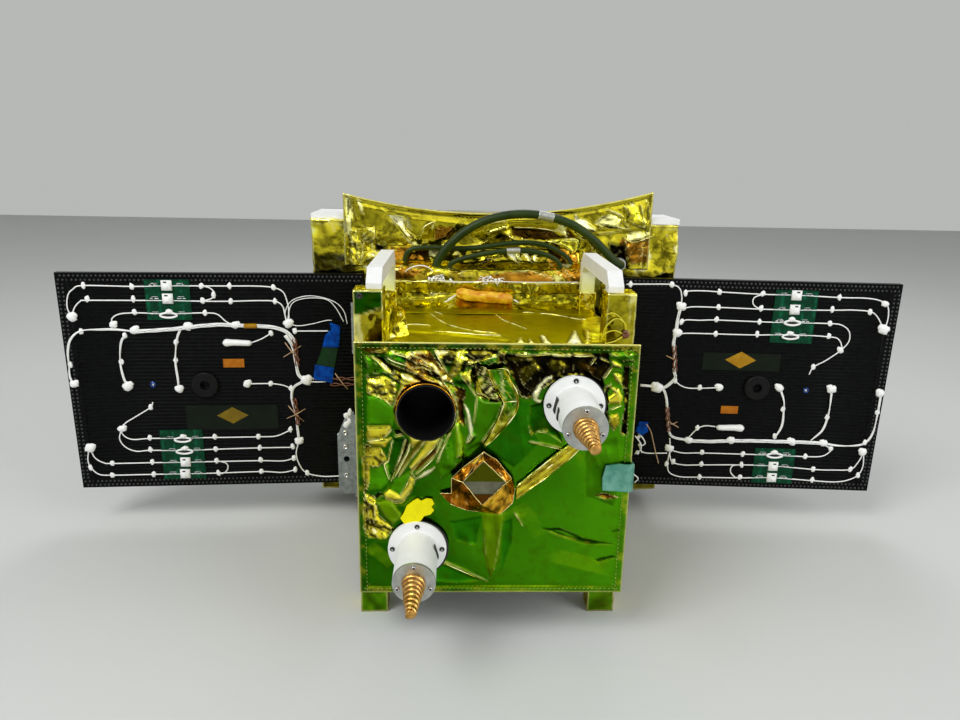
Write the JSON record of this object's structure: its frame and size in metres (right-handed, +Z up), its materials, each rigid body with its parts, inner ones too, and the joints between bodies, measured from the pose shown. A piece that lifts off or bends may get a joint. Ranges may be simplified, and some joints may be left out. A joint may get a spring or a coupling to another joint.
{
  "type": "small satellite with folding solar wings",
  "caption": "Box satellite in crinkled gold film, with helix antennas, lifting handles and solar wings that fold forward along its sides.",
  "frame": {"origin": "centre of the four feet's bolt pattern, on the floor plane", "axes": "+Z up, +X to the right along the wings, +Y towards the rear; the sensor and antennas face -Y"},
  "size_m": [1.2064, 0.5659, 0.508],
  "materials": {
    "gold_foil": "crinkled metallised film, gold, mirror bright",
    "amber_foil": "crinkled metallised film, amber",
    "aluminium": "machined, clear finish",
    "structure": "machined, hidden under the blankets",
    "white_paint": "matt white thermal paint",
    "grey_cap": "satin grey",
    "copper_gold": "wound strip, satin",
    "black_coating": "matt black optical coating",
    "lens_glass": "coated dark glass",
    "sensor_window": "grey window",
    "black_laminate": "carbon fibre laminate, fine ribbed weave",
    "solar_cell": "dark blue cells under cover glass",
    "green_board": "green solder mask",
    "white_plastic": "white printed plastic",
    "yellow_tape": "yellow film tape",
    "orange_tape": "orange film tape",
    "green_jacket": "dark green cable jacket",
    "white_wire": "white wire insulation and adhesive dots"
  },
  "bodies": {
    "bus": {"aperture_baffle": "black_coating", "aperture_lens": "lens_glass", "back_cable": "green_jacket", "base_plate": "aluminium", "bus_box": "structure", "cable_glands": "grey_cap", "deck_blanket": "gold_foil", "foot_pads": "aluminium", "front_blanket": "gold_foil", "harness_shelf": "gold_foil", "left_front_post": "gold_foil", "left_handle": "white_plastic", "left_handle_base": "yellow_tape", "left_lower_hinge_bracket": "aluminium", "left_rear_leg": "gold_foil", "left_side_blanket": "gold_foil", "left_upper_hinge_bracket": "aluminium", "low_cable": "green_jacket", "lower_antenna_can": "white_paint", "lower_antenna_cap": "grey_cap", "lower_antenna_flange": "white_paint", "lower_antenna_helix": "copper_gold", "main_cable": "green_jacket", "rear_bay_blanket": "gold_foil", "rear_bay_box": "structure", "rear_solar_cells": "solar_cell", "rear_solar_substrate": "black_laminate", "rear_top_plate": "white_paint", "right_front_post": "gold_foil", "right_handle": "white_plastic", "right_handle_base": "yellow_tape", "right_lower_hinge_bracket": "aluminium", "right_rear_leg": "gold_foil", "right_side_blanket": "gold_foil", "right_upper_hinge_bracket": "aluminium", "saddle_screen": "gold_foil", "sun_sensor_housing": "amber_foil", "sun_sensor_window": "sensor_window", "taped_bundle": "orange_tape", "upper_antenna_can": "white_paint", "upper_antenna_cap": "grey_cap", "upper_antenna_flange": "white_paint", "upper_antenna_helix": "copper_gold"},
    "left_wing": {"left_lower_hinge_leaf": "aluminium", "left_upper_hinge_leaf": "aluminium", "left_wing_boards": "green_board", "left_wing_boss": "black_coating", "left_wing_cells": "solar_cell", "left_wing_harness": "white_wire", "left_wing_panel": "black_laminate"},
    "right_wing": {"right_lower_hinge_leaf": "aluminium", "right_upper_hinge_leaf": "aluminium", "right_wing_boards": "green_board", "right_wing_boss": "black_coating", "right_wing_cells": "solar_cell", "right_wing_harness": "white_wire", "right_wing_panel": "black_laminate"}
  },
  "joints": [
    {"name": "left_wing_fold", "type": "hinge", "parent": "bus", "child": "left_wing", "pos_m": [-0.172, 0.0616, 0.2], "axis": [0, 0, 1], "range_deg": [-3.5, 86.5]},
    {"name": "right_wing_fold", "type": "hinge", "parent": "bus", "child": "right_wing", "pos_m": [0.172, 0.0616, 0.2], "axis": [0, 0, -1], "range_deg": [-3.5, 86.5]}
  ]
}
